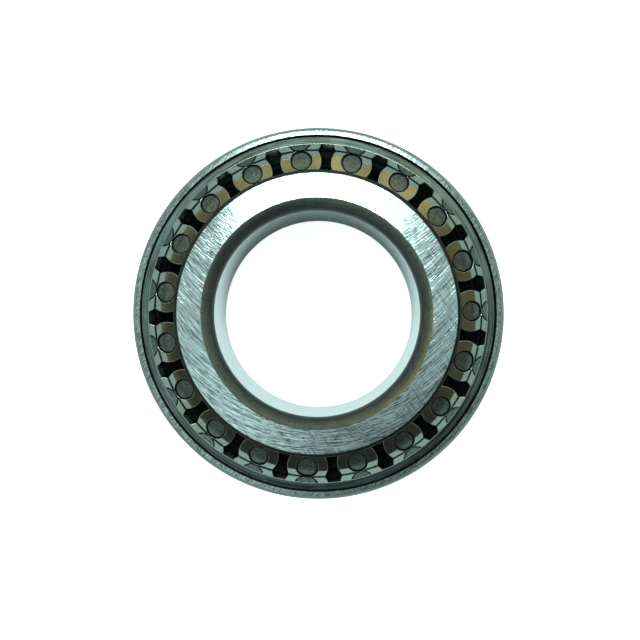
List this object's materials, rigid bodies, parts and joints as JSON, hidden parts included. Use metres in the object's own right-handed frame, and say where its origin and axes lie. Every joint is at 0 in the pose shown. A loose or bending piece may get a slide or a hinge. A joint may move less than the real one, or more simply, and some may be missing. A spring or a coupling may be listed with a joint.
{
  "type": "tapered roller bearing",
  "caption": "Single-row tapered roller bearing: separable outer cup, ribbed inner cone with a plain bore, pressed steel cage and dimpled tapered rollers.",
  "frame": {"origin": "on the bearing axis, in the plane of the cup's back face, which the bearing stands on", "axes": "+Z along the bearing axis, from the cup's back face towards the cone's back face; +X and +Y in the plane of the faces"},
  "size_m": [0.11, 0.11, 0.0237],
  "materials": {
    "cup_steel": "ground hardened bearing steel, fine turning marks on the faces",
    "cone_steel": "ground hardened bearing steel with coarse arc-shaped grinding marks on the back face",
    "cage_steel": "pressed mild steel, turned rim, lightly oiled",
    "roller_steel": "lapped hardened bearing steel with a thin straw-coloured oil film"
  },
  "bodies": {
    "cup": {"cup": "cup_steel"},
    "cone": {"cone": "cone_steel"},
    "cage": {"cage": "cage_steel"},
    "roller_01": {"roller_01": "roller_steel"},
    "roller_02": {"roller_02": "roller_steel"},
    "roller_03": {"roller_03": "roller_steel"},
    "roller_04": {"roller_04": "roller_steel"},
    "roller_05": {"roller_05": "roller_steel"},
    "roller_06": {"roller_06": "roller_steel"},
    "roller_07": {"roller_07": "roller_steel"},
    "roller_08": {"roller_08": "roller_steel"},
    "roller_09": {"roller_09": "roller_steel"},
    "roller_10": {"roller_10": "roller_steel"},
    "roller_11": {"roller_11": "roller_steel"},
    "roller_12": {"roller_12": "roller_steel"},
    "roller_13": {"roller_13": "roller_steel"},
    "roller_14": {"roller_14": "roller_steel"},
    "roller_15": {"roller_15": "roller_steel"},
    "roller_16": {"roller_16": "roller_steel"},
    "roller_17": {"roller_17": "roller_steel"},
    "roller_18": {"roller_18": "roller_steel"},
    "roller_19": {"roller_19": "roller_steel"}
  },
  "joints": [
    {"name": "cone_spin", "type": "hinge", "parent": "cup", "child": "cone", "pos_m": [0, 0, 0.01275], "axis": [0, 0, 1], "continuous": true},
    {"name": "cage_spin", "type": "hinge", "parent": "cup", "child": "cage", "pos_m": [0, 0, 0.011], "axis": [0, 0, 1], "continuous": true},
    {"name": "roller_01_spin", "type": "hinge", "parent": "cage", "child": "roller_01", "pos_m": [0.04539, 0.00095, 0.01869], "axis": [0.2303, 0.0048, 0.9731], "continuous": true},
    {"name": "roller_02_spin", "type": "hinge", "parent": "cage", "child": "roller_02", "pos_m": [0.04262, 0.01564, 0.01869], "axis": [0.2163, 0.0794, 0.9731], "continuous": true},
    {"name": "roller_03_spin", "type": "hinge", "parent": "cage", "child": "roller_03", "pos_m": [0.03524, 0.02863, 0.01869], "axis": [0.1788, 0.1453, 0.9731], "continuous": true},
    {"name": "roller_04_spin", "type": "hinge", "parent": "cage", "child": "roller_04", "pos_m": [0.02403, 0.03852, 0.01869], "axis": [0.1219, 0.1955, 0.9731], "continuous": true},
    {"name": "roller_05_spin", "type": "hinge", "parent": "cage", "child": "roller_05", "pos_m": [0.01022, 0.04423, 0.01869], "axis": [0.0519, 0.2245, 0.9731], "continuous": true},
    {"name": "roller_06_spin", "type": "hinge", "parent": "cage", "child": "roller_06", "pos_m": [-0.0047, 0.04516, 0.01869], "axis": [-0.0238, 0.2292, 0.9731], "continuous": true},
    {"name": "roller_07_spin", "type": "hinge", "parent": "cage", "child": "roller_07", "pos_m": [-0.0191, 0.04119, 0.01869], "axis": [-0.0969, 0.209, 0.9731], "continuous": true},
    {"name": "roller_08_spin", "type": "hinge", "parent": "cage", "child": "roller_08", "pos_m": [-0.03144, 0.03275, 0.01869], "axis": [-0.1596, 0.1662, 0.9731], "continuous": true},
    {"name": "roller_09_spin", "type": "hinge", "parent": "cage", "child": "roller_09", "pos_m": [-0.04037, 0.02077, 0.01869], "axis": [-0.2049, 0.1054, 0.9731], "continuous": true},
    {"name": "roller_10_spin", "type": "hinge", "parent": "cage", "child": "roller_10", "pos_m": [-0.04493, 0.00653, 0.01869], "axis": [-0.228, 0.0332, 0.9731], "continuous": true},
    {"name": "roller_11_spin", "type": "hinge", "parent": "cage", "child": "roller_11", "pos_m": [-0.04461, -0.00841, 0.01869], "axis": [-0.2264, -0.0427, 0.9731], "continuous": true},
    {"name": "roller_12_spin", "type": "hinge", "parent": "cage", "child": "roller_12", "pos_m": [-0.03947, -0.02244, 0.01869], "axis": [-0.2003, -0.1139, 0.9731], "continuous": true},
    {"name": "roller_13_spin", "type": "hinge", "parent": "cage", "child": "roller_13", "pos_m": [-0.03004, -0.03404, 0.01869], "axis": [-0.1525, -0.1727, 0.9731], "continuous": true},
    {"name": "roller_14_spin", "type": "hinge", "parent": "cage", "child": "roller_14", "pos_m": [-0.01736, -0.04195, 0.01869], "axis": [-0.0881, -0.2129, 0.9731], "continuous": true},
    {"name": "roller_15_spin", "type": "hinge", "parent": "cage", "child": "roller_15", "pos_m": [-0.0028, -0.04531, 0.01869], "axis": [-0.0142, -0.23, 0.9731], "continuous": true},
    {"name": "roller_16_spin", "type": "hinge", "parent": "cage", "child": "roller_16", "pos_m": [0.01206, -0.04377, 0.01869], "axis": [0.0612, -0.2221, 0.9731], "continuous": true},
    {"name": "roller_17_spin", "type": "hinge", "parent": "cage", "child": "roller_17", "pos_m": [0.02562, -0.03748, 0.01869], "axis": [0.13, -0.1902, 0.9731], "continuous": true},
    {"name": "roller_18_spin", "type": "hinge", "parent": "cage", "child": "roller_18", "pos_m": [0.0364, -0.02713, 0.01869], "axis": [0.1847, -0.1377, 0.9731], "continuous": true},
    {"name": "roller_19_spin", "type": "hinge", "parent": "cage", "child": "roller_19", "pos_m": [0.04324, -0.01384, 0.01869], "axis": [0.2194, -0.0702, 0.9731], "continuous": true}
  ],
  "couplings": [
    {"joint": "cage_spin", "follows": "cone_spin", "ratio": 0.43437},
    {"joint": "roller_01_spin", "follows": "cone_spin", "ratio": -3.6429},
    {"joint": "roller_02_spin", "follows": "cone_spin", "ratio": -3.6429},
    {"joint": "roller_03_spin", "follows": "cone_spin", "ratio": -3.6429},
    {"joint": "roller_04_spin", "follows": "cone_spin", "ratio": -3.6429},
    {"joint": "roller_05_spin", "follows": "cone_spin", "ratio": -3.6429},
    {"joint": "roller_06_spin", "follows": "cone_spin", "ratio": -3.6429},
    {"joint": "roller_07_spin", "follows": "cone_spin", "ratio": -3.6429},
    {"joint": "roller_08_spin", "follows": "cone_spin", "ratio": -3.6429},
    {"joint": "roller_09_spin", "follows": "cone_spin", "ratio": -3.6429},
    {"joint": "roller_10_spin", "follows": "cone_spin", "ratio": -3.6429},
    {"joint": "roller_11_spin", "follows": "cone_spin", "ratio": -3.6429},
    {"joint": "roller_12_spin", "follows": "cone_spin", "ratio": -3.6429},
    {"joint": "roller_13_spin", "follows": "cone_spin", "ratio": -3.6429},
    {"joint": "roller_14_spin", "follows": "cone_spin", "ratio": -3.6429},
    {"joint": "roller_15_spin", "follows": "cone_spin", "ratio": -3.6429},
    {"joint": "roller_16_spin", "follows": "cone_spin", "ratio": -3.6429},
    {"joint": "roller_17_spin", "follows": "cone_spin", "ratio": -3.6429},
    {"joint": "roller_18_spin", "follows": "cone_spin", "ratio": -3.6429},
    {"joint": "roller_19_spin", "follows": "cone_spin", "ratio": -3.6429}
  ]
}
